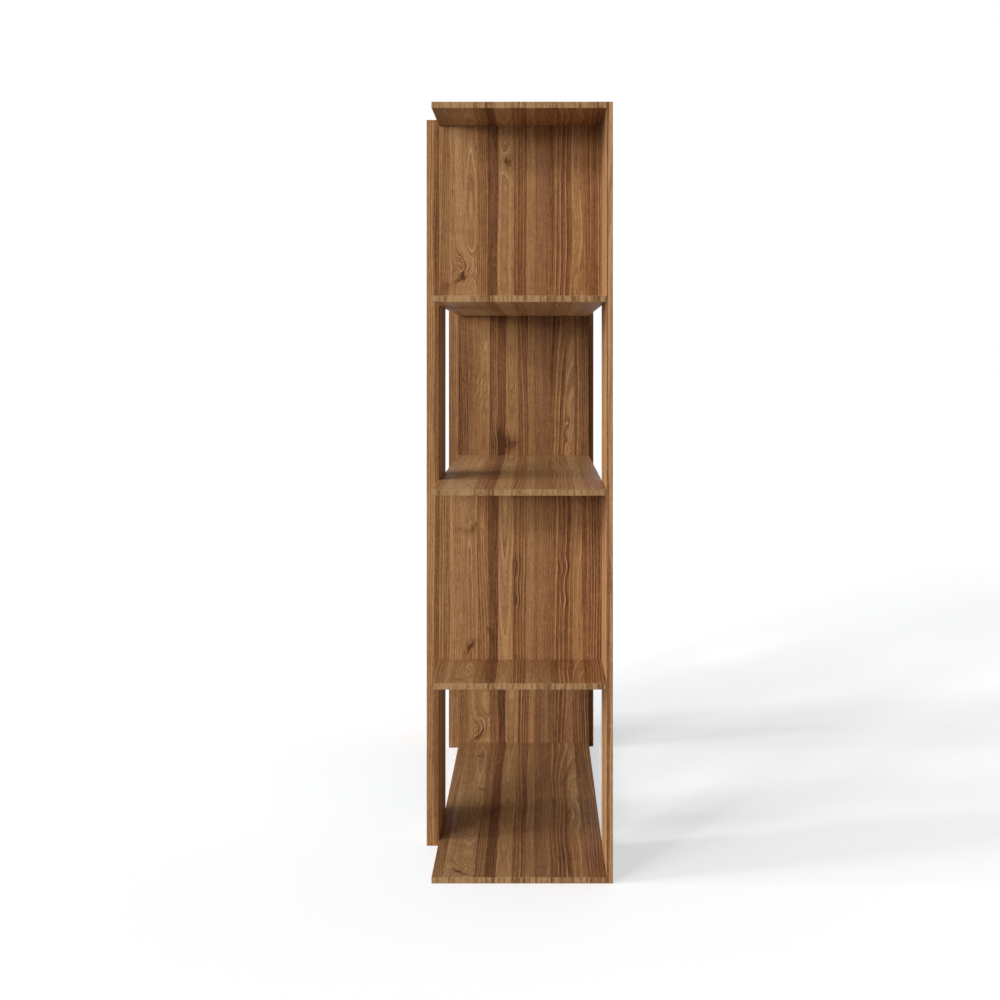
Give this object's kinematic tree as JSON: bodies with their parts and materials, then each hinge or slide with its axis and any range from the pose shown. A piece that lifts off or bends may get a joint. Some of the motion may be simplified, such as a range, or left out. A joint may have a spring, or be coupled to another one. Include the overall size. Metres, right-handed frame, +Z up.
{
  "type": "zigzag bookshelf",
  "caption": "Open free-standing bookcase of thin walnut-finish boards; its tier panels alternate from end to end in a zigzag, and narrow full-height uprights hold the boards front and rear.",
  "frame": {"origin": "middle of the footprint, on the floor", "axes": "+Z up; X along the length of the boards, -X is the end with the first tier's panel; Y is the depth, -Y is the front, where the thin uprights are"},
  "size_m": [1.112, 0.364, 1.46],
  "materials": {
    "walnut_flat_board": "satin planked walnut decor, grain along the length",
    "walnut_panel": "satin planked walnut decor, grain upright",
    "walnut_upright": "satin planked walnut decor, grain upright",
    "beech_dowel": "raw turned beech"
  },
  "bodies": {
    "root": {"top_board": "walnut_flat_board", "shelf_upper": "walnut_flat_board", "shelf_middle": "walnut_flat_board", "shelf_lower": "walnut_flat_board", "base_board": "walnut_flat_board", "panel_1_left": "walnut_panel", "panel_2_right": "walnut_panel", "panel_3_left": "walnut_panel", "panel_4_right": "walnut_panel", "upright_front_left": "walnut_upright", "upright_front_right": "walnut_upright", "upright_rear_left": "walnut_upright", "upright_rear_right": "walnut_upright", "dowel_panel_1_left_bottom_front": "beech_dowel", "dowel_panel_1_left_bottom_rear": "beech_dowel", "dowel_panel_1_left_top_front": "beech_dowel", "dowel_panel_1_left_top_rear": "beech_dowel", "dowel_panel_2_right_bottom_front": "beech_dowel", "dowel_panel_2_right_bottom_rear": "beech_dowel", "dowel_panel_2_right_top_front": "beech_dowel", "dowel_panel_2_right_top_rear": "beech_dowel", "dowel_panel_3_left_bottom_front": "beech_dowel", "dowel_panel_3_left_bottom_rear": "beech_dowel", "dowel_panel_3_left_top_front": "beech_dowel", "dowel_panel_3_left_top_rear": "beech_dowel", "dowel_panel_4_right_bottom_front": "beech_dowel", "dowel_panel_4_right_bottom_rear": "beech_dowel", "dowel_panel_4_right_top_front": "beech_dowel", "dowel_panel_4_right_top_rear": "beech_dowel", "dowel_base_board_front_left": "beech_dowel", "dowel_shelf_lower_front_left": "beech_dowel", "dowel_shelf_middle_front_left": "beech_dowel", "dowel_shelf_upper_front_left": "beech_dowel", "dowel_top_board_front_left": "beech_dowel", "dowel_base_board_front_right": "beech_dowel", "dowel_shelf_lower_front_right": "beech_dowel", "dowel_shelf_middle_front_right": "beech_dowel", "dowel_shelf_upper_front_right": "beech_dowel", "dowel_top_board_front_right": "beech_dowel", "dowel_base_board_rear_left": "beech_dowel", "dowel_shelf_lower_rear_left": "beech_dowel", "dowel_shelf_middle_rear_left": "beech_dowel", "dowel_shelf_upper_rear_left": "beech_dowel", "dowel_top_board_rear_left": "beech_dowel", "dowel_base_board_rear_right": "beech_dowel", "dowel_shelf_lower_rear_right": "beech_dowel", "dowel_shelf_middle_rear_right": "beech_dowel", "dowel_shelf_upper_rear_right": "beech_dowel", "dowel_top_board_rear_right": "beech_dowel"}
  },
  "joints": []
}
